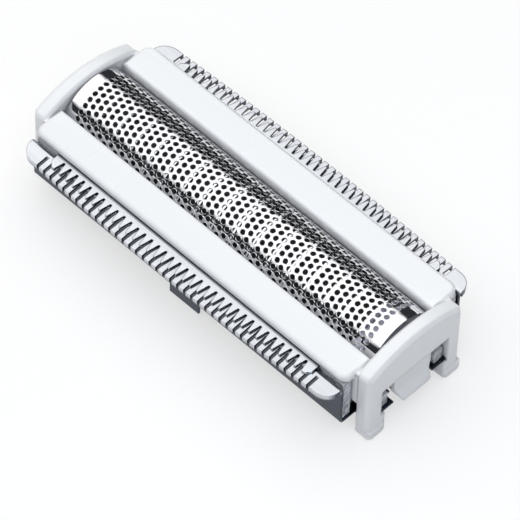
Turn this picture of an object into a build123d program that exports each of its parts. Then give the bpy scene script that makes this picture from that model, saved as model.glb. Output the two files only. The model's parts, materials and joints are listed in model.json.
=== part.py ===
from build123d import *
from math import cos, pi, sin
import os

# Shaver head. Millimetres; X runs along the head, Y across it, Z up, and the feet stand on Z = 0.
# The front end is +X. Seen from the front end, right is +Y and left is -Y.

# Arched ends of the frame; the pieces between them take their length from here
END_IN_X = 24.6
END_THICK = 2.1
END_OUT_X = END_IN_X + END_THICK
END_HALF_W = 7.4
END_SIDE_Z = 10.8
END_CREST_Z = 12.65
SHOULDER_R = 0.8        # from the crest into the sides
END_BEVEL = 0.5         # edge of the outer face
END_IN_BEVEL = 0.35     # edge of the inner face along the crest
WINDOW_HALF_W = 5.3     # between the two legs
WINDOW_TOP_Z = 7.35
LEDGE_HALF_W = 4.7      # step in the legs under the comb's floor
FOOT_OUT = 0.25         # how far a foot stands out from its leg
FOOT_H = 1.4
FOOT_BEVEL = 0.25
FOOT_CORNER = 0.45      # at the sides of the sole

# Foil
AXIS_Z = 7.6            # height of the axis that the foil and the cutter share
FOIL_R = 5.1            # outside of the arch
FOIL_THICK = 0.1
FOIL_END_GAP = 0.35
FOIL_HALF_LEN = END_IN_X - FOIL_END_GAP
FOIL_LOW_Z = 5.8        # lower edge of the straight sides
HOLE_COLUMNS = 15       # far coarser lattice than the real foil has
HOLE_MARGIN = 1.75      # plain end of the foil
HOLE_ROWS = 5           # holes in the first column; every second column has one less
HOLE_STEP = 28.0        # degrees from hole to hole round the arch
HOLE_SIDE = 1.4
LUGS = 4                # lugs a side that hook the foil's straight sides to the rails
LUG_HALF_LEN = 0.9
LUG_LOW_Z = 6.1
LUG_TOP_Z = 6.6
LUG_IN = 0.2            # how far a lug stands inside the foil

# Frame, long bars
BAR_END_STEP = 0.1
BAR_HALF_LEN = END_IN_X - BAR_END_STEP
BAR_HALF_W = 9.1
BAR_TOP_Z = 11.0
BAR_THICK = 0.9
BAR_LOW_Z = BAR_TOP_Z - BAR_THICK
BAR_CORNER_R = 1.2
BAR_BEVEL = 0.3
EDGE_DROP = 0.7         # how far the edge beside the foil reaches below the bars
EDGE_LOW_Z = BAR_LOW_Z - EDGE_DROP
EDGE_GAP = 0.12         # between that edge and the foil
OPEN_HALF_W = (FOIL_R ** 2 - (EDGE_LOW_Z - AXIS_Z) ** 2) ** 0.5 + EDGE_GAP
OPEN_EDGE_R = 0.4
ROOT_LEN = 1.1          # where the bars run into the ends
ROOT_TOP_Z = 10.7

# Frame, snap tongues
TONGUE_STEP = 0.4       # from the band's outer face back to the tongue's face
TONGUE_THICK = 1.0
TONGUE_X = END_OUT_X - TONGUE_STEP
TONGUE_BACK_X = TONGUE_X - TONGUE_THICK
LIP_OUT = 0.8           # how far the lip stands out from the tongue's face
LIP_H = 0.6
LIP_BEVEL = 0.25
LIP_CORNER = 0.5        # at the sides of the lip
TONGUE_LOW_Z = 2.7
TONGUE_BEND_Z = 5.0     # where the face starts to curve out to the lip
TONGUE_HALF_W = 2.9
LIP_HALF_W = 2.0

# Frame, inner walls
WALL_THICK = 1.0
WALL_SET = 1.6          # from the bars' edge back to the wall's outer face
WALL_OUT_Y = BAR_HALF_W - WALL_SET
WALL_IN_Y = WALL_OUT_Y - WALL_THICK
WALL_LOW_Z = 5.7
RAIL_LOW_Z = 5.5
RAIL_TOP_Z = 7.4

# Trimmer comb, one folded sheet a side
SHEET = 0.3
COMB_WALL_OUT = 0.3     # how far its wall stands out from the bars
COMB_WALL_Y = BAR_HALF_W + COMB_WALL_OUT
COMB_FLOOR_Z = 3.0      # underside of its floor
COMB_TOP_Z = 9.55       # top of the toothed plate at the wall
PLATE_FALL = 0.09       # drop of the plate for each millimetre outward
BEND_R = 0.3            # inside radius of the folds
COMB_END_GAP = 0.2
COMB_HALF_LEN = END_IN_X - COMB_END_GAP
EAR_LEN = 2.5           # plain ends beside the teeth
EAR_R = 2.0
BOW_HALF_LEN = COMB_HALF_LEN - EAR_LEN
TIP_OUT_MID = 2.75      # from the wall to the tooth tips at mid-length
TIP_OUT_END = 2.22      # and beside the ears
TIP_Y_MID = COMB_WALL_Y + TIP_OUT_MID
TIP_Y_END = COMB_WALL_Y + TIP_OUT_END
EAR_Y = TIP_Y_END - EAR_R
TIP_DROP = 0.7          # how far the tips are turned down
COMB_SLOTS = 40
COMB_SLOT_W = 0.4
COMB_SLOT_OUT = 0.6     # from the wall to the root of the slots
COMB_LAND = 0.6         # from the last slot to the ear
COMB_PITCH = 2 * (BOW_HALF_LEN - COMB_LAND) / (COMB_SLOTS - 1)
FLOOR_IN_Y = 2.4
FLOOR_NOTCH_GAP = 0.1   # from the tongue back to the notch between the floor's end tabs
FLOOR_NOTCH_Y = 3.1
FLOOR_TAB_IN = 0.2      # end of the tabs, from the end's outer face
LEG_BITE = 0.4          # how far the floor is let into the legs
TAB_HALF_LEN = 2.3      # tab below the wall
TAB_LOW_Z = 2.0
PORT_HALF_LEN = 3.5     # hole in the floor for the driver's fork
PORT_IN_Y = 5.6
PORT_OUT_Y = 8.2

# Trimmer blade, slides on the comb
BLADE_END_IN = 1.35     # from the comb's bow to the blade's end
BLADE_HALF_LEN = BOW_HALF_LEN - BLADE_END_IN
BLADE_IN_GAP = 0.25     # from the frame's inner wall to the blade's straight edge
BLADE_IN_Y = WALL_OUT_Y + BLADE_IN_GAP
BLADE_TIP_OUT_MID = 2.0     # from the comb's wall to the tooth tips at mid-length
BLADE_TIP_OUT_END = 1.35    # and at the ends
BLADE_TOOTH_MID = 1.45      # length of the teeth at mid-length
BLADE_TOOTH_END = 1.35      # and at the ends
BLADE_TIP_MID = COMB_WALL_Y + BLADE_TIP_OUT_MID
BLADE_TIP_END = COMB_WALL_Y + BLADE_TIP_OUT_END
BLADE_SLOTS = 35
BLADE_LAND = 1.42       # from the last slot to the blade's end
BLADE_PITCH = 2 * (BLADE_HALF_LEN - BLADE_LAND) / (BLADE_SLOTS - 1)
BLADE_SLOT_W = 0.26     # at the root
BLADE_MOUTH_W = 0.86    # at the tips
BLADE_END_BEVEL = 0.6
PEGS = 4                # pegs of the driver that hold the blade
PEG_HALF = 0.35

# Trimmer driver
DRIVER_END_GAP = 1.2
DRIVER_HALF_LEN = END_IN_X - DRIVER_END_GAP
WEB_END_GAP = 0.45
WEB_HALF_LEN = END_IN_X - WEB_END_GAP
WEB_GAP = 0.15          # between the web and the walls on both sides of it
WEB_IN_Y = WALL_OUT_Y + WEB_GAP
WEB_OUT_Y = COMB_WALL_Y - SHEET - WEB_GAP
PEG_Y = (WEB_IN_Y + WEB_OUT_Y) / 2
DRIVER_FOOT_Y = 3.75
DRIVER_FOOT_TOP_Z = 4.5
FINGER_LEN = 2.7        # fingers that reach into the windows
FINGER_OUT_Y = 5.0
FINGER_TOP_Z = 5.3
FORK_HALF_LEN = 2.2
FORK_IN_Y = 5.9
FORK_OUT_Y = 7.9
FORK_LOW_Z = 1.9
FORK_SLOT_W = 1.6
FORK_SLOT_TOP_Z = 3.1

# Cutter
CUTTER_STROKE = 2.0
CUTTER_REST_X = -CUTTER_STROKE / 2      # parked at the rear end of its stroke
CUTTER_END_GAP = 0.2
CAP_T = 1.3
CAP_GAP = 0.1           # between the cap and the foil
CAP_R = FOIL_R - FOIL_THICK - CAP_GAP
CAP_LOW_Z = 6.3
CAP_STEP = 0.3          # how far the flat top of a cap stands above the core
PLUG_LEN = 1.5
CORE_HALF_LEN = END_IN_X - CUTTER_STROKE / 2 - CUTTER_END_GAP - CAP_T
CORE_HALF_W = 3.5
CORE_TOP_Z = 10.6
CORE_BEVEL = 1.6
CORE_WALL = 1.2
CUTTER_BLADES = 17
CUTTER_BLADE_T = 0.25
CUTTER_BLADE_IN = 0.18  # from the core's end to the last blade
CUTTER_BLADE_LOW_Z = 6.95
CUTTER_PITCH = 2 * (CORE_HALF_LEN - CUTTER_BLADE_IN) / (CUTTER_BLADES - 1)
CUTTER_FACETS = 12      # straight facets in the half round of a blade or cap
HUB_HALF_LEN = 3.5
HUB_LOW_Z = 4.2
DRIVE_SLOT_W = 2.2
DRIVE_SLOT_HALF_Y = 1.8
DRIVE_SLOT_TOP_Z = 8.2

# Clearances between pieces that move
RUN = 0.05              # cutter in the foil, cutter and drivers on the combs' floors
BLADE_RUN = 0.03        # trimmer blade on its comb

# Overlaps used while shapes are joined and cut
LAP = 0.3               # how far one form runs into the next
PAST = 1.0              # how far a cut reaches past the face that it opens


def span(x0, x1, y0, y1, z0, z1):
    """Block between two opposite corners."""
    return Pos((x0 + x1) / 2, (y0 + y1) / 2, (z0 + z1) / 2) * Box(x1 - x0, y1 - y0, z1 - z0)


def both_ends(piece):
    """The piece and its mirror image at the other end of the head."""
    return piece + mirror(piece, about=Plane.YZ)


def both_sides(piece):
    """The piece and its mirror image across the head."""
    return piece + mirror(piece, about=Plane.XZ)


def along_x(section, x0, x1):
    """Extrude a section drawn as (Y, Z) from x0 to x1."""
    return Pos(x0, 0, 0) * extrude(Plane.YZ * section, x1 - x0)


def upright(outline, z0, z1):
    """Extrude an outline drawn as (X, Y) from z0 to z1."""
    return Pos(0, 0, z0) * extrude(outline, z1 - z0)


def polygon(*points):
    return make_face(Polyline(*points, close=True))


def even(count, half_len):
    """Places spread evenly over a length."""
    return [half_len * ((2 * i + 1) / count - 1) for i in range(count)]


def row(count, pitch):
    """Places a pitch apart about the middle."""
    return [pitch * (i - (count - 1) / 2) for i in range(count)]


def arch(radius, low_z):
    """Section with a half-round top about the shared axis and straight sides."""
    top = ThreePointArc((radius, AXIS_Z), (0, AXIS_Z + radius), (-radius, AXIS_Z))
    sides = Polyline((-radius, AXIS_Z), (-radius, low_z), (radius, low_z), (radius, AXIS_Z))
    return make_face(top + sides)


def faceted_arch(radius, low_z):
    """The arch with straight facets for its half round."""
    angles = [pi * i / CUTTER_FACETS for i in range(CUTTER_FACETS + 1)]
    top = [(radius * cos(a), AXIS_Z + radius * sin(a)) for a in angles]
    return polygon(*top, (-radius, low_z), (radius, low_z))


def plate_z(y):
    """Top of the sloping toothed plate of the comb."""
    return COMB_TOP_Z - PLATE_FALL * (y - COMB_WALL_Y)


def bow(x, half_len, mid, end):
    """Height of a shallow bow over its own half length."""
    return mid - (mid - end) * (x / half_len) ** 2


def bowed_edge(half_len, mid, end, slots):
    """Bowed edge that is straight from slot to slot, so that each tooth has a flat tip."""
    return [(x, bow(x, half_len, mid, end)) for x in (-half_len, *slots, half_len)]


def make_foil():
    inner_r = FOIL_R - FOIL_THICK
    section = arch(FOIL_R, FOIL_LOW_Z) - arch(inner_r, FOIL_LOW_Z)
    foil = along_x(section, -FOIL_HALF_LEN, FOIL_HALF_LEN)
    hole = Box(HOLE_SIDE, HOLE_SIDE, PAST)
    pitch = 2 * (FOIL_HALF_LEN - HOLE_MARGIN) / (HOLE_COLUMNS - 1)
    holes = []
    for i, x in enumerate(row(HOLE_COLUMNS, pitch)):
        for angle in row(HOLE_ROWS - i % 2, HOLE_STEP):
            holes.append(Pos(x, 0, AXIS_Z) * Rot(angle, 0, 0) * Pos(0, 0, FOIL_R) * hole)
    return foil - holes - [span(x - LUG_HALF_LEN, x + LUG_HALF_LEN, -END_HALF_W, END_HALF_W,
                                LUG_LOW_Z, LUG_TOP_Z) for x in even(LUGS, FOIL_HALF_LEN)]


def make_bars():
    outline = RectangleRounded(2 * BAR_HALF_LEN, 2 * BAR_HALF_W, BAR_CORNER_R)
    bars = upright(outline, BAR_LOW_Z, BAR_TOP_Z)
    bars = chamfer(bars.edges().group_by(Axis.Z)[-1], BAR_BEVEL)
    bars -= span(-END_OUT_X, END_OUT_X, -OPEN_HALF_W, OPEN_HALF_W, BAR_LOW_Z - PAST, BAR_TOP_Z + PAST)
    inner = [e for e in bars.edges().filter_by(Axis.X)
             if abs(abs(e.center().Y) - OPEN_HALF_W) < 1e-4 and e.center().Z > BAR_TOP_Z - 1e-4]
    return fillet(inner, OPEN_EDGE_R)


def make_tongue():
    """Tongue under the end's lintel, with a lip that snaps into the handle."""
    lip_x = TONGUE_X + LIP_OUT
    lip_z = TONGUE_LOW_Z + LIP_H
    curve = TangentArc((TONGUE_X, TONGUE_BEND_Z), (lip_x, lip_z), tangent=(0, -1))
    rest = Polyline((lip_x, lip_z), (lip_x, TONGUE_LOW_Z + LIP_BEVEL), (lip_x - LIP_BEVEL, TONGUE_LOW_Z),
                    (TONGUE_BACK_X, TONGUE_LOW_Z), (TONGUE_BACK_X, WINDOW_TOP_Z + LAP),
                    (TONGUE_X, WINDOW_TOP_Z + LAP), (TONGUE_X, TONGUE_BEND_Z))
    side_view = make_face(curve + rest)
    tongue = Pos(0, TONGUE_HALF_W, 0) * extrude(Plane.XZ * side_view, 2 * TONGUE_HALF_W)
    front_view = polygon((TONGUE_HALF_W, WINDOW_TOP_Z + PAST), (TONGUE_HALF_W, TONGUE_BEND_Z),
                         (LIP_HALF_W, TONGUE_LOW_Z), (-LIP_HALF_W, TONGUE_LOW_Z),
                         (-TONGUE_HALF_W, TONGUE_BEND_Z), (-TONGUE_HALF_W, WINDOW_TOP_Z + PAST))
    front_view = chamfer([v for v in front_view.vertices() if v.Y < TONGUE_LOW_Z + 1e-4], LIP_CORNER)
    return tongue & along_x(front_view, END_IN_X - PAST, lip_x + PAST)


def make_end():
    """Arched band with its two legs and the tongue."""
    crest = ThreePointArc((-END_HALF_W, END_SIDE_Z), (0, END_CREST_Z), (END_HALF_W, END_SIDE_Z))
    floor_z = COMB_FLOOR_Z
    rest = Polyline((END_HALF_W, END_SIDE_Z), (END_HALF_W, 0), (LEDGE_HALF_W, 0),
                    (LEDGE_HALF_W, floor_z), (WINDOW_HALF_W, floor_z),
                    (WINDOW_HALF_W, WINDOW_TOP_Z), (-WINDOW_HALF_W, WINDOW_TOP_Z),
                    (-WINDOW_HALF_W, floor_z), (-LEDGE_HALF_W, floor_z), (-LEDGE_HALF_W, 0),
                    (-END_HALF_W, 0), (-END_HALF_W, END_SIDE_Z))
    face = make_face(crest + rest)
    face = chamfer([v for v in face.vertices() if v.Y < 1e-4], FOOT_CORNER)
    face = fillet([v for v in face.vertices() if abs(v.Y - END_SIDE_Z) < 1e-4], SHOULDER_R)
    band = along_x(face, END_IN_X, END_OUT_X)
    edges = [e for e in band.edges() if e.geom_type == GeomType.CIRCLE]
    outer = [e for e in edges if e.center().X > END_OUT_X - 1e-4]
    outer += [e for e in band.edges().filter_by(Axis.Z)
              if abs(abs(e.center().Y) - END_HALF_W) < 1e-4 and e.center().X > END_OUT_X - 1e-4]
    band = chamfer(outer, END_BEVEL)
    inner = [e for e in band.edges() if e.geom_type == GeomType.CIRCLE and e.center().X < END_IN_X + 1e-4]
    band = chamfer(inner, END_IN_BEVEL)
    sole = polygon((LEDGE_HALF_W, 0), (END_HALF_W, 0), (END_HALF_W, FOOT_H), (LEDGE_HALF_W, FOOT_H))
    sole = chamfer([v for v in sole.vertices() if v.Y < 1e-4], FOOT_CORNER)
    foot = along_x(sole, END_OUT_X - END_BEVEL - LAP, END_OUT_X + FOOT_OUT)
    foot = chamfer(foot.faces().sort_by(Axis.X)[-1].edges(), FOOT_BEVEL)
    return band + both_sides(foot) + make_tongue()


def make_frame(combs):
    frame = make_bars() + both_ends(make_end())
    long_x = END_IN_X + LAP
    sides = span(-long_x, long_x, WALL_IN_Y, WALL_OUT_Y, WALL_LOW_Z, BAR_LOW_Z + LAP)
    sides += span(-long_x, long_x, FOIL_R, WALL_IN_Y, RAIL_LOW_Z, RAIL_TOP_Z)
    sides += span(-long_x, long_x, OPEN_HALF_W, WALL_IN_Y, EDGE_LOW_Z, BAR_LOW_Z + LAP)
    root = span(BAR_HALF_LEN - ROOT_LEN, long_x, OPEN_HALF_W, END_HALF_W, RAIL_LOW_Z, ROOT_TOP_Z)
    sides += both_ends(root - along_x(arch(FOIL_R, RAIL_LOW_Z), 0, END_OUT_X))
    for x in even(LUGS, FOIL_HALF_LEN):
        sides += span(x - LUG_HALF_LEN, x + LUG_HALF_LEN, FOIL_R - FOIL_THICK - LUG_IN, FOIL_R + LAP,
                      LUG_LOW_Z, LUG_TOP_Z)
    frame += both_sides(sides)
    for comb in combs:
        frame -= comb
    return frame


def comb_outline(slots):
    """The comb seen from above: floor, its tabs and the toothed plate, before the slots."""
    ear_x = COMB_HALF_LEN - EAR_R
    bowed = bowed_edge(BOW_HALF_LEN, TIP_Y_MID, TIP_Y_END, slots)
    tips = Polyline((-ear_x, TIP_Y_END), *bowed, (ear_x, TIP_Y_END))
    ears = CenterArc((ear_x, EAR_Y), EAR_R, 0, 90) + CenterArc((-ear_x, EAR_Y), EAR_R, 90, 90)
    bite_x = END_IN_X + LEG_BITE
    bite_y = WINDOW_HALF_W + LEG_BITE
    notch_x = TONGUE_BACK_X - FLOOR_NOTCH_GAP
    tab_x = END_OUT_X - FLOOR_TAB_IN
    half = [(COMB_HALF_LEN, EAR_Y), (COMB_HALF_LEN, END_HALF_W - LEG_BITE), (bite_x, END_HALF_W - LEG_BITE),
            (bite_x, bite_y), (tab_x, bite_y), (tab_x, FLOOR_NOTCH_Y),
            (notch_x, FLOOR_NOTCH_Y), (notch_x, FLOOR_IN_Y)]
    other = [(-x, y) for x, y in reversed(half)]
    return make_face(tips + ears + Polyline(*half, *other))


def make_comb():
    """Right comb: floor, wall and toothed plate folded from one sheet."""
    slots = row(COMB_SLOTS, COMB_PITCH)
    out_y = TIP_Y_MID + PAST
    inner_y = COMB_WALL_Y - SHEET
    floor_top = COMB_FLOOR_Z + SHEET
    fold = polygon((FLOOR_IN_Y - PAST, COMB_FLOOR_Z), (COMB_WALL_Y, COMB_FLOOR_Z),
                   (COMB_WALL_Y, plate_z(COMB_WALL_Y) - SHEET), (out_y, plate_z(out_y) - SHEET),
                   (out_y, plate_z(out_y)), (inner_y, plate_z(inner_y)),
                   (inner_y, floor_top), (FLOOR_IN_Y - PAST, floor_top))
    mid_z = (COMB_FLOOR_Z + COMB_TOP_Z) / 2
    outer = [v for v in fold.vertices() if abs(v.X - COMB_WALL_Y) < 1e-4 and v.Y < mid_z]
    outer += [v for v in fold.vertices() if abs(v.X - inner_y) < 1e-4 and v.Y > mid_z]
    fold = fillet(outer, BEND_R + SHEET)
    inner = [v for v in fold.vertices() if abs(v.X - inner_y) < 1e-4 and abs(v.Y - floor_top) < 1e-4]
    inner += [v for v in fold.vertices() if abs(v.X - COMB_WALL_Y) < 1e-4 and v.Y > mid_z]
    fold = fillet(inner, BEND_R)
    outline = comb_outline(slots)
    comb = along_x(fold, -END_OUT_X, END_OUT_X) & upright(outline, 0, BAR_TOP_Z)

    under_plate = along_x(polygon((COMB_WALL_Y, 0), (out_y, 0), (out_y, plate_z(out_y) - SHEET / 2),
                                  (COMB_WALL_Y, plate_z(COMB_WALL_Y) - SHEET / 2)),
                          -END_OUT_X, END_OUT_X)
    rim = upright(outline - offset(outline, -SHEET), plate_z(TIP_Y_MID) - TIP_DROP, BAR_TOP_Z)
    rim &= span(-END_OUT_X, END_OUT_X, EAR_Y, out_y, 0, BAR_TOP_Z)
    comb += rim & under_plate

    slot = span(-COMB_SLOT_W / 2, COMB_SLOT_W / 2, COMB_WALL_Y + COMB_SLOT_OUT, out_y, mid_z, BAR_TOP_Z)
    comb -= [Pos(x, 0, 0) * slot for x in slots]
    comb -= span(-PORT_HALF_LEN, PORT_HALF_LEN, PORT_IN_Y, PORT_OUT_Y, 0, floor_top + PAST)
    tab_top = COMB_FLOOR_Z + 2 * BEND_R + SHEET
    return comb + span(-TAB_HALF_LEN, TAB_HALF_LEN, inner_y, COMB_WALL_Y, TAB_LOW_Z, tab_top)


def blade_section():
    """Section of the trimmer blade, lying on the sloping plate."""
    y0 = BLADE_IN_Y - PAST
    y1 = BLADE_TIP_MID + PAST
    low0 = plate_z(y0) + BLADE_RUN
    low1 = plate_z(y1) + BLADE_RUN
    return polygon((y0, low0), (y1, low1), (y1, low1 + SHEET), (y0, low0 + SHEET))


def peg_blocks():
    """Blocks that cut the windows in the blade and the pegs that fill them."""
    return [span(x - PEG_HALF, x + PEG_HALF, PEG_Y - PEG_HALF, PEG_Y + PEG_HALF, COMB_FLOOR_Z, BAR_TOP_Z)
            for x in even(PEGS, BLADE_HALF_LEN)]


def make_trimmer_blade():
    """Right trimmer blade: tapering teeth on a bowed edge."""
    slots = row(BLADE_SLOTS, BLADE_PITCH)
    edge = bowed_edge(BLADE_HALF_LEN, BLADE_TIP_MID, BLADE_TIP_END, slots)
    outline = polygon(*edge, (BLADE_HALF_LEN, BLADE_IN_Y), (-BLADE_HALF_LEN, BLADE_IN_Y))
    ends = [v for v in outline.vertices() if abs(v.X) > BLADE_HALF_LEN - 1e-4 and v.Y > BLADE_IN_Y + 1e-4]
    outline = chamfer(ends, BLADE_END_BEVEL)
    for x in slots:
        mouth = bow(x, BLADE_HALF_LEN, BLADE_TIP_MID, BLADE_TIP_END)
        root = mouth - bow(x, BLADE_HALF_LEN, BLADE_TOOTH_MID, BLADE_TOOTH_END)
        past = mouth + LAP
        outline -= polygon((x - BLADE_SLOT_W / 2, root), (x + BLADE_SLOT_W / 2, root),
                           (x + BLADE_MOUTH_W / 2, mouth), (x + BLADE_MOUTH_W / 2, past),
                           (x - BLADE_MOUTH_W / 2, past), (x - BLADE_MOUTH_W / 2, mouth))
    blade = upright(outline, 0, BAR_TOP_Z) & along_x(blade_section(), -BLADE_HALF_LEN, BLADE_HALF_LEN)
    return blade - peg_blocks()


def make_driver():
    """Right driver: slides on the comb's floor and carries the trimmer blade."""
    low_z = COMB_FLOOR_Z + SHEET + RUN
    finger_x = DRIVER_HALF_LEN + FINGER_LEN
    web = polygon((WEB_IN_Y, low_z), (WEB_OUT_Y - BEND_R, low_z), (WEB_OUT_Y, low_z + BEND_R),
                  (WEB_OUT_Y, plate_z(WEB_OUT_Y) + BLADE_RUN), (WEB_IN_Y, plate_z(WEB_IN_Y) + BLADE_RUN))
    driver = along_x(web, -WEB_HALF_LEN, WEB_HALF_LEN)
    driver += span(-DRIVER_HALF_LEN, DRIVER_HALF_LEN, DRIVER_FOOT_Y, WEB_IN_Y, low_z, DRIVER_FOOT_TOP_Z)
    finger = span(DRIVER_HALF_LEN - PAST, finger_x, DRIVER_FOOT_Y, FINGER_OUT_Y, low_z, FINGER_TOP_Z)
    driver += both_ends(finger)
    driver += span(-FORK_HALF_LEN, FORK_HALF_LEN, FORK_IN_Y, FORK_OUT_Y, FORK_LOW_Z, DRIVER_FOOT_TOP_Z)
    driver -= span(-FORK_SLOT_W / 2, FORK_SLOT_W / 2, FORK_IN_Y, FORK_OUT_Y, 0, FORK_SLOT_TOP_Z)
    seat = along_x(blade_section(), -BLADE_HALF_LEN, BLADE_HALF_LEN)
    for block in peg_blocks():
        driver += block & seat
    return driver


def core_section(inset):
    """Section of the cutter's core, a block with bevelled shoulders, drawn in by the inset."""
    half_w = CORE_HALF_W - inset
    top_z = CORE_TOP_Z - inset
    low_z = COMB_FLOOR_Z + SHEET + RUN
    return polygon((half_w, low_z), (half_w, top_z - CORE_BEVEL), (half_w - CORE_BEVEL, top_z),
                   (CORE_BEVEL - half_w, top_z), (-half_w, top_z - CORE_BEVEL), (-half_w, low_z))


def make_cutter_blade(x):
    blade_r = FOIL_R - FOIL_THICK - RUN
    section = faceted_arch(blade_r, CUTTER_BLADE_LOW_Z) - core_section(0)
    return along_x(section, x - CUTTER_BLADE_T / 2, x + CUTTER_BLADE_T / 2)


def make_carrier():
    """Core that carries the cutter blades, with a slot for the handle's drive pin."""
    core = along_x(core_section(0) - core_section(CORE_WALL), -CORE_HALF_LEN, CORE_HALF_LEN)
    hub = along_x(core_section(CORE_WALL), -HUB_HALF_LEN, HUB_HALF_LEN)
    hub -= span(-HUB_HALF_LEN, HUB_HALF_LEN, -CORE_HALF_W, CORE_HALF_W, 0, HUB_LOW_Z)
    hub -= span(-DRIVE_SLOT_W / 2, DRIVE_SLOT_W / 2, -DRIVE_SLOT_HALF_Y, DRIVE_SLOT_HALF_Y,
                0, DRIVE_SLOT_TOP_Z)
    return Pos(CUTTER_REST_X, 0, 0) * (core + hub)


def make_cap():
    """Front cap of the cutter, plugged into the hollow core."""
    cap = along_x(faceted_arch(CAP_R, CAP_LOW_Z), CORE_HALF_LEN, CORE_HALF_LEN + CAP_T)
    cap -= span(0, END_IN_X, -CAP_R, CAP_R, CORE_TOP_Z + CAP_STEP, AXIS_Z + FOIL_R)
    plug = along_x(core_section(CORE_WALL), CORE_HALF_LEN - PLUG_LEN, CORE_HALF_LEN)
    return cap + (plug - span(0, END_IN_X, -CORE_HALF_W, CORE_HALF_W, 0, CAP_LOW_Z))


comb_right = make_comb()
comb_left = mirror(comb_right, about=Plane.XZ)
trimmer_blade_right = make_trimmer_blade()
driver_right = make_driver()
cap_front = make_cap()
cutter_blades = [make_cutter_blade(CUTTER_REST_X + x) for x in row(CUTTER_BLADES, CUTTER_PITCH)]

nodes = {
    "frame": make_frame([comb_right, comb_left]),
    "foil": make_foil(),
    "cutter_carrier": make_carrier(),
    "cutter_cap_front": Pos(CUTTER_REST_X, 0, 0) * cap_front,
    "cutter_cap_rear": Pos(CUTTER_REST_X, 0, 0) * mirror(cap_front, about=Plane.YZ),
    "trimmer_comb_right": comb_right,
    "trimmer_comb_left": comb_left,
    "trimmer_blade_right": trimmer_blade_right,
    "trimmer_blade_left": mirror(trimmer_blade_right, about=Plane.XZ),
    "trimmer_driver_right": driver_right,
    "trimmer_driver_left": mirror(driver_right, about=Plane.XZ),
}
for number, blade in enumerate(cutter_blades, start=1):
    nodes[f"cutter_blade_{number:02d}"] = blade

os.makedirs("parts", exist_ok=True)
for name, solid in nodes.items():
    export_step(solid, f"parts/{name}.step")
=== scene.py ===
import json
import math

import bmesh
import bpy
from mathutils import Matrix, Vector


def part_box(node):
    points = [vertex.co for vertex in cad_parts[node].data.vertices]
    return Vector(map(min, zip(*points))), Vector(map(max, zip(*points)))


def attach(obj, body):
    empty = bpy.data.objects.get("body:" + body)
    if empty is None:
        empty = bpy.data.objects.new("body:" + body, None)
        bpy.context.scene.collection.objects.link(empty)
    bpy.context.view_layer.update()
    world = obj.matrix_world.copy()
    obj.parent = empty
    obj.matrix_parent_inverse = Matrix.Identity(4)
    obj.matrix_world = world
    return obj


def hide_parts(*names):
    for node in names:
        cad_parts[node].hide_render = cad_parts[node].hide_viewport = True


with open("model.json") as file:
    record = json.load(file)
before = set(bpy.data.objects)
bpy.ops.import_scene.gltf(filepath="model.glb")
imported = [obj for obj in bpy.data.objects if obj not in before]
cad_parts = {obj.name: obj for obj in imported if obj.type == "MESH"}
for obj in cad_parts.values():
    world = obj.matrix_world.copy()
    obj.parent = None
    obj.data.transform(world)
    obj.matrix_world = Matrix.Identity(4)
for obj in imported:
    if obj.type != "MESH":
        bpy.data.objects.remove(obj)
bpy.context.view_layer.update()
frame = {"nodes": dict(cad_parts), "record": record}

# Metres, in the frame of the CAD model: X along the head, Y across it, Z up.
MM = 0.001

# Foil: the sheet, an arch with a straight strip below each side
FOIL_LOW, FOIL_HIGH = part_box("foil")
FOIL_R = (FOIL_HIGH.y - FOIL_LOW.y) / 2
FOIL_THICK = 0.05 * MM
AXIS_Z = FOIL_HIGH.z - FOIL_R
QUARTER = FOIL_R * math.pi / 2          # along the sheet, from the crest to where a straight strip starts
CREASE = math.radians(25)               # sharper edges stay crisp

# Foil: the lattice of round holes
COLUMN_PITCH = 0.9 * MM
LAST_COLUMN = 25                        # the sheet is plain beyond this column, counted from the middle
HALF_STEP = math.radians(5.008)         # half the angle between two holes of one column
LATTICE_TURN = math.radians(-11.52)     # turn of the whole lattice round the axis
SPARE_ROWS = 6                          # rows added on the side that the lattice is turned away from
HOLED_ANGLE = math.radians(68)          # the sheet is plain beyond this angle
RING = 12                               # points round a hole; a cell has as many round its edge
WELD = 0.002 * MM                       # points of neighbouring cells closer than this are one
NO_WIDTH = 1e-7                         # a cell cut down to less than this lies off the sheet

# Foil: one hole with its raised rim
HOLE_R = 0.33 * MM
RIM_R = 0.36 * MM
RIM_FOOT_R = 0.395 * MM
RIM_H = 0.03 * MM
SHEET_R = FOIL_R - RIM_H                # outside of the sheet; the rims' crests reach the foil's radius
HOLE_RINGS = (                          # radius and depth of the rings of points, from the sheet inward
    (RIM_FOOT_R, 0),
    (RIM_R, -RIM_H),
    (HOLE_R, 0),
    (HOLE_R, FOIL_THICK),
)

# Colours: each material varies a little between two
WHITE = ((0.8785, 0.8855, 0.8935), (0.8815, 0.8885, 0.8965))
CLEAR = ((0.8, 0.81, 0.87), (0.92, 0.93, 0.96))
NICKEL = ((0.8, 0.8, 0.82), (0.86, 0.86, 0.87))
BLADE_STEEL = ((0.7, 0.71, 0.73), (0.84, 0.85, 0.87))
SHEET_STEEL = ((0.52, 0.54, 0.575), (0.6, 0.62, 0.65))
# painted shade: the core is near black so that the foil's holes look dark
CORE_SHADE_BLACK = ((0.012, 0.012, 0.014), (0.02, 0.02, 0.023))
CAP_GREY = ((0.56, 0.56, 0.63), (0.64, 0.64, 0.71))
FLOOR_SEEN = ((0.97, 0.965, 0.96), (0.985, 0.98, 0.975))

# Painted shade: colours of closed-in faces, and of the steel's walls, cut edges and low parts
GAP_DEPTH = 0.8 * MM                    # a face is closed in by what stands nearer than this
GAP_PAINTED_SHADE = (0.48, 0.49, 0.51)         # painted shade on white plastic deep inside narrow gaps
STEEL_PAINTED_SHADE = (0.045, 0.054, 0.072)        # painted shade and painted dark reflection on combs and trimmer blades
PAINTED_SHADE_LOW_Z = 8.4 * MM                 # painted shade: they are dark below this level
PAINTED_SHADE_TOP_Z = 9.0 * MM                 # and the painted shade has faded out from here up
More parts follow.
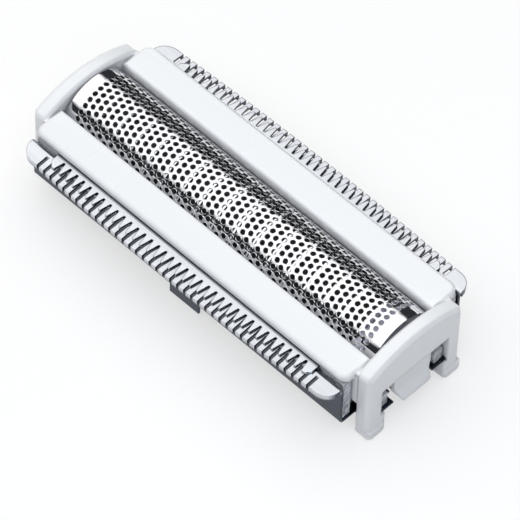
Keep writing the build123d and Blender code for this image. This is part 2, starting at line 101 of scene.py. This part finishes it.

# Material nodes
NOISE_RANGE = (0.3, 0.7)                # most values of a noise lie in here
TINT_RANGE = (0.35, 0.65)               # a tint goes from one colour to the other in here
NEAR_SAMPLES = 8                        # for rounded edges and closed-in faces
MIX_SHARE = 0                           # sockets of a Mix node for colours, whose names are not unique
MIX_FIRST = 6
MIX_SECOND = 7
MIX_RESULT = 2

# Camera, fitted to the photograph's 520 x 520 frame
CAMERA_AT = Vector((212.0, -222.4, 406.2)) * MM
CAMERA_TURN = [math.radians(a) for a in (37.176, -1.192, 44.841)]
CAMERA_LENS = 310.4
SENSOR = 36.0
CLIP_NEAR = 0.01
CLIP_FAR = 20

# Studio: a dark room with one wide soft light overhead, a small cool lamp and a pale floor
LIGHT_FROM = Vector((-0.28, -0.06, 0.95)).normalized()
LIGHT_EDGE = 0.58                       # cosine of the angle from the middle of the light to its dim edge
LIGHT_FULL = 0.74                       # cosine of the angle within which it is full
LIGHT_STRENGTH = 1.47
ROOM_COLOUR = (0.03, 0.032, 0.036)
FILL_AT = Vector((0.32, -0.22, 0.58))   # the cool lamp, above the front end and well out from it
FILL_SIZE = 0.5
FILL_POWER = 1.5
FILL_COLOUR = (0.8, 0.89, 1.0)
FLOOR_SIZE = 3.0
FLOOR_BOUNCE = (0.8, 0.8, 0.8)          # colour of the floor for the light that it sends back up
FLOOR_GLOW = 0.6                        # share of plain white in the floor as it is seen


def add_object(name, data):
    """A new object in the scene."""
    item = bpy.data.objects.new(name, data)
    bpy.context.scene.collection.objects.link(item)
    return item


def new_material(name):
    """A material with its node tree and its shader."""
    material = bpy.data.materials.new(name)
    material.use_nodes = True
    return material, material.node_tree, material.node_tree.nodes["Principled BSDF"]


def noise(tree, scale, stretch=(1, 1, 1), detail=3.0):
    """Noise in object space, in cycles per metre, drawn out along an axis by a small stretch."""
    place = tree.nodes.new("ShaderNodeTexCoord")
    mapping = tree.nodes.new("ShaderNodeMapping")
    mapping.inputs["Scale"].default_value = stretch
    texture = tree.nodes.new("ShaderNodeTexNoise")
    texture.inputs["Scale"].default_value = scale
    texture.inputs["Detail"].default_value = detail
    tree.links.new(place.outputs["Object"], mapping.inputs["Vector"])
    tree.links.new(mapping.outputs["Vector"], texture.inputs["Vector"])
    return texture.outputs["Fac"]


def spread(tree, value, low=0.0, high=1.0, source=NOISE_RANGE):
    """Maps a value from its source range onto low to high, and holds it there beyond that range."""
    node = tree.nodes.new("ShaderNodeMapRange")
    node.inputs["From Min"].default_value = source[0]
    node.inputs["From Max"].default_value = source[1]
    node.inputs["To Min"].default_value = low
    node.inputs["To Max"].default_value = high
    tree.links.new(value, node.inputs["Value"])
    return node.outputs["Result"]


def tint(tree, value, colours):
    """Maps noise onto a blend of two colours."""
    ramp = tree.nodes.new("ShaderNodeValToRGB")
    for stop, position, colour in zip(ramp.color_ramp.elements, TINT_RANGE, colours):
        stop.position = position
        stop.color = (*colour, 1)
    tree.links.new(value, ramp.inputs["Fac"])
    return ramp.outputs["Color"]


def arithmetic(tree, operation, *values):
    """One step of arithmetic on outputs of other nodes and plain numbers."""
    node = tree.nodes.new("ShaderNodeMath")
    node.operation = operation
    for socket, value in zip(node.inputs, values):
        if isinstance(value, bpy.types.NodeSocket):
            tree.links.new(value, socket)
        else:
            socket.default_value = value
    return node.outputs["Value"]


def components(tree, vector):
    """X, Y and Z of a vector."""
    node = tree.nodes.new("ShaderNodeSeparateXYZ")
    tree.links.new(vector, node.inputs["Vector"])
    return node.outputs


def openness(tree):
    """0 on a face that is closed in, 1 on an open one: the mask of the painted shade in gaps."""
    node = tree.nodes.new("ShaderNodeAmbientOcclusion")
    node.samples = NEAR_SAMPLES
    node.inputs["Distance"].default_value = GAP_DEPTH
    return spread(tree, node.outputs["AO"])


def mottle(tree, shader, pattern, colours, rough):
    """Lets a pattern vary the colour and the roughness."""
    tree.links.new(tint(tree, pattern, colours), shader.inputs["Base Color"])
    tree.links.new(spread(tree, pattern, *rough), shader.inputs["Roughness"])


def blend_base(tree, shader, plain, share):
    """Blends the base colour with a plain one, which stands alone where the share is 0."""
    base = shader.inputs["Base Color"]
    node = tree.nodes.new("ShaderNodeMix")
    node.data_type = "RGBA"
    node.inputs[MIX_FIRST].default_value = (*plain, 1)
    tree.links.new(base.links[0].from_socket, node.inputs[MIX_SECOND])
    tree.links.new(share, node.inputs[MIX_SHARE])
    tree.links.new(node.outputs[MIX_RESULT], base)


def surface(tree, shader, pattern, height, rounding=0):
    """Bump, on top of rounded edges where a rounding is given."""
    bump = tree.nodes.new("ShaderNodeBump")
    bump.inputs["Distance"].default_value = height
    bump.inputs["Strength"].default_value = 1.0
    tree.links.new(pattern, bump.inputs["Height"])
    if rounding:
        bevel = tree.nodes.new("ShaderNodeBevel")
        bevel.samples = NEAR_SAMPLES
        bevel.inputs["Radius"].default_value = rounding
        tree.links.new(bevel.outputs["Normal"], bump.inputs["Normal"])
    tree.links.new(bump.outputs["Normal"], shader.inputs["Normal"])


def white_plastic():
    """Glossy white plastic, with painted shade: grey deep inside narrow gaps."""
    material, tree, shader = new_material("white_plastic")
    mottle(tree, shader, noise(tree, scale=60, detail=1), WHITE, rough=(0.26, 0.3))
    # painted shade: the base colour turns grey on closed-in faces
    blend_base(tree, shader, GAP_PAINTED_SHADE, openness(tree))
    shader.inputs["IOR"].default_value = 1.5
    surface(tree, shader, noise(tree, scale=1500, detail=1), height=0.0004 * MM, rounding=0.4 * MM)
    return material


def clear_plastic():
    """Milky clear plastic with a wavy surface."""
    material, tree, shader = new_material("clear_plastic")
    mottle(tree, shader, noise(tree, scale=600), CLEAR, rough=(0.06, 0.16))
    shader.inputs["Transmission Weight"].default_value = 0.35
    shader.inputs["IOR"].default_value = 1.49
    surface(tree, shader, noise(tree, scale=1400, detail=1), height=0.5 * MM, rounding=0.15 * MM)
    return material


def moulded(name, colours, rough):
    """Matt moulded plastic."""
    material, tree, shader = new_material(name)
    mottle(tree, shader, noise(tree, scale=900), colours, rough)
    surface(tree, shader, noise(tree, scale=12000), height=0.004 * MM)
    return material


def metal(name, colours, rough, grain, rounding=0):
    """Bright metal with a rolled grain along the head."""
    material, tree, shader = new_material(name)
    streak = noise(tree, scale=grain, stretch=(0.06, 1, 1))
    shader.inputs["Metallic"].default_value = 1.0
    mottle(tree, shader, streak, colours, rough)
    surface(tree, shader, streak, height=0.0015 * MM, rounding=rounding)
    return material


def toothed_steel():
    """Sheet steel, bright on top and at the tips, with painted shade and painted dark reflection: dark low
    down, on walls, cut edges and closed-in faces.
    """
    material = metal("sheet_steel", SHEET_STEEL, rough=(0.1, 0.18), grain=800, rounding=0.14 * MM)
    tree = material.node_tree
    place = components(tree, tree.nodes.new("ShaderNodeTexCoord").outputs["Object"])
    facing = components(tree, tree.nodes.new("ShaderNodeNewGeometry").outputs["Normal"])
    # painted shade and painted dark reflection: dark below a level, on faces turned neither up nor
    # outward, and where closed in
    high = spread(tree, place["Z"], source=(PAINTED_SHADE_LOW_Z, PAINTED_SHADE_TOP_Z))
    outward = arithmetic(tree, "MULTIPLY", facing["Y"], arithmetic(tree, "SIGN", place["Y"]))
    lit_facing = arithmetic(tree, "MAXIMUM", spread(tree, facing["Z"]), spread(tree, outward))
    open_face = arithmetic(tree, "MULTIPLY", lit_facing, openness(tree))
    bright = arithmetic(tree, "MULTIPLY", high, open_face)
    blend_base(tree, tree.nodes["Principled BSDF"], STEEL_PAINTED_SHADE, bright)
    return material


def on_arch(x, along, depth):
    """Point of the foil from its place on the flat sheet; depth is measured in from the outside."""
    radius = SHEET_R - depth
    if abs(along) <= QUARTER:
        angle = along / FOIL_R
        return (x, radius * math.sin(angle), AXIS_Z + radius * math.cos(angle))
    side = math.copysign(1, along)
    return (x, side * radius, AXIS_Z - (abs(along) - QUARTER))


def cell_edge(half_step):
    """Six corners of a lattice cell with the middles of its sides, anticlockwise from +x."""
    reach = (COLUMN_PITCH ** 2 + half_step ** 2) / (2 * COLUMN_PITCH)
    shoulder = (COLUMN_PITCH ** 2 - half_step ** 2) / (2 * COLUMN_PITCH)
    corners = [(reach, 0), (shoulder, half_step), (-shoulder, half_step),
               (-reach, 0), (-shoulder, -half_step), (shoulder, -half_step)]
    points = []
    for here, there in zip(corners, corners[1:] + corners[:1]):
        points.append(here)
        points.append(((here[0] + there[0]) / 2, (here[1] + there[1]) / 2))
    return points


def lattice(half_len, half_width):
    """Column number and middle of each cell on the flat sheet."""
    columns = math.ceil(half_len / COLUMN_PITCH)
    rows = math.ceil(half_width / (FOIL_R * HALF_STEP))
    for column in range(-columns, columns + 1):
        for step in range(-rows, rows + SPARE_ROWS):
            if (column + step) % 2 == 0:
                yield column, column * COLUMN_PITCH, FOIL_R * (LATTICE_TURN + step * HALF_STEP)


def within(value, limit):
    """The value, kept from going past the limit on either side of 0."""
    return min(max(value, -limit), limit)


def weld(mesh):
    """Joins the cells into one sheet, shaded smooth but for sharp edges away from the rims' crests."""
    work = bmesh.new()
    work.from_mesh(mesh)
    bmesh.ops.remove_doubles(work, verts=work.verts, dist=WELD)
    bmesh.ops.dissolve_degenerate(work, edges=work.edges, dist=WELD)
    bmesh.ops.recalc_face_normals(work, faces=work.faces)
    for crease in work.edges:
        on_crest = all(math.hypot(v.co.y, v.co.z - AXIS_Z) > SHEET_R + RIM_H / 2 for v in crease.verts)
        crease.smooth = on_crest or crease.calc_face_angle(0) < CREASE
    work.to_mesh(mesh)
    work.free()
    mesh.shade_smooth()


def foil_mesh():
    """Arched sheet made of lattice cells, each with a rimmed round hole or plain."""
    half_len = (FOIL_HIGH.x - FOIL_LOW.x) / 2
    mid_x = (FOIL_HIGH.x + FOIL_LOW.x) / 2
    half_width = QUARTER + AXIS_Z - FOIL_LOW.z
    edge = cell_edge(FOIL_R * HALF_STEP)
    rays = [Vector(point).normalized() for point in edge]
    verts, faces = [], []

    def ring(points, depth):
        start = len(verts)
        verts.extend(on_arch(mid_x + x, along, depth) for x, along in points)
        return list(range(start, start + RING))

    def band(outer, inner):
        for i in range(RING):
            j = (i + 1) % RING
            faces.append((outer[i], outer[j], inner[j], inner[i]))

    for column, at_x, at_along in lattice(half_len, half_width):
        clipped = [(within(at_x + x, half_len), within(at_along + along, half_width)) for x, along in edge]
        if min(max(line) - min(line) for line in zip(*clipped)) < NO_WIDTH:
            continue
        outside = ring(clipped, 0)
        inside = ring(clipped, FOIL_THICK)
        if abs(column) > LAST_COLUMN or abs(at_along) > FOIL_R * HOLED_ANGLE:
            faces.append(tuple(outside))
            faces.append(tuple(reversed(inside)))
            continue
        rings = [outside]
        for radius, depth in HOLE_RINGS:
            circle = [(at_x + radius * ray.x, at_along + radius * ray.y) for ray in rays]
            rings.append(ring(circle, depth))
        rings.append(inside)
        for outer, inner in zip(rings, rings[1:]):
            band(outer, inner)

    mesh = bpy.data.meshes.new("foil_sheet")
    mesh.from_pydata(verts, [], faces)
    weld(mesh)
    return mesh


def room():
    """The dark room and its soft light, as the world seen by direction."""
    world = bpy.data.worlds.new("room")
    bpy.context.scene.world = world
    world.use_nodes = True
    tree = world.node_tree
    back = tree.nodes["Background"]
    place = tree.nodes.new("ShaderNodeTexCoord")
    toward = tree.nodes.new("ShaderNodeVectorMath")
    toward.operation = "DOT_PRODUCT"
    toward.inputs[1].default_value = LIGHT_FROM
    ramp = tree.nodes.new("ShaderNodeValToRGB")
    ramp.color_ramp.interpolation = "EASE"
    dim, full = ramp.color_ramp.elements
    dim.position = LIGHT_EDGE
    dim.color = (*(c / LIGHT_STRENGTH for c in ROOM_COLOUR), 1)
    full.position = LIGHT_FULL
    full.color = (1, 1, 1, 1)
    tree.links.new(place.outputs["Generated"], toward.inputs[0])
    tree.links.new(toward.outputs["Value"], ramp.inputs["Fac"])
    tree.links.new(ramp.outputs["Color"], back.inputs["Color"])
    back.inputs["Strength"].default_value = LIGHT_STRENGTH


def fill_lamp():
    """The small cool lamp, turned to the middle of the head."""
    fill = bpy.data.lights.new("fill", "AREA")
    fill.energy = FILL_POWER
    fill.size = FILL_SIZE
    fill.color = FILL_COLOUR
    lamp = add_object("fill", fill)
    lamp.location = FILL_AT
    lamp.rotation_euler = (-FILL_AT).to_track_quat("-Z", "Y").to_euler()


def floor_material():
    """Pale and matt, and lighter where it is seen, also in metal and clear plastic."""
    material, tree, shader = new_material("floor")
    shader.inputs["Roughness"].default_value = 0.9
    shader.inputs["Specular IOR Level"].default_value = 0.1
    path = tree.nodes.new("ShaderNodeLightPath").outputs
    seen = path["Is Camera Ray"]
    for kind in ("Is Glossy Ray", "Is Transmission Ray"):
        seen = arithmetic(tree, "MAXIMUM", seen, path[kind])
    tree.links.new(tint(tree, noise(tree, scale=6), FLOOR_SEEN), shader.inputs["Base Color"])
    blend_base(tree, shader, FLOOR_BOUNCE, seen)
    white = tree.nodes.new("ShaderNodeEmission")
    blend = tree.nodes.new("ShaderNodeMixShader")
    tree.links.new(arithmetic(tree, "MULTIPLY", seen, FLOOR_GLOW), blend.inputs["Fac"])
    tree.links.new(shader.outputs["BSDF"], blend.inputs[1])
    tree.links.new(white.outputs["Emission"], blend.inputs[2])
    tree.links.new(blend.outputs["Shader"], tree.nodes["Material Output"].inputs["Surface"])
    return material


def floor():
    """A wide square at the level of the feet."""
    half = FLOOR_SIZE / 2
    corners = [(-half, -half, 0), (half, -half, 0), (half, half, 0), (-half, half, 0)]
    mesh = bpy.data.meshes.new("floor")
    mesh.from_pydata(corners, [], [(0, 1, 2, 3)])
    mesh.materials.append(floor_material())
    ground = add_object("floor", mesh)


def camera():
    """The camera at the photograph's viewpoint."""
    lens = bpy.data.cameras.new("camera")
    lens.sensor_width = SENSOR
    lens.lens = CAMERA_LENS
    lens.clip_start = CLIP_NEAR
    lens.clip_end = CLIP_FAR
    view = add_object("camera", lens)
    view.location = CAMERA_AT
    view.rotation_euler = CAMERA_TURN
    bpy.context.scene.camera = view


finishes = {
    "white_plastic": white_plastic(),
    "foil_nickel": metal("foil_nickel", NICKEL, rough=(0.04, 0.08), grain=700),
    "blade_steel": metal("blade_steel", BLADE_STEEL, rough=(0.16, 0.28), grain=900),
    "sheet_steel": toothed_steel(),
    "core_plastic": moulded("core_plastic", CORE_SHADE_BLACK, rough=(0.44, 0.56)),
    "cap_plastic": moulded("cap_plastic", CAP_GREY, rough=(0.39, 0.51)),
    "clear_plastic": clear_plastic(),
}

for part in frame["record"]["subparts"]:
    node = frame["nodes"][part["node"]]
    node.data.materials.clear()
    node.data.materials.append(finishes[part["material_slot"]])

foil_sheet = add_object("foil_sheet", foil_mesh())
foil_sheet.data.materials.append(finishes["foil_nickel"])
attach(foil_sheet, "head")
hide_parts("foil")

floor()
room()
fill_lamp()
camera()
bpy.context.scene.view_settings.view_transform = "Standard"
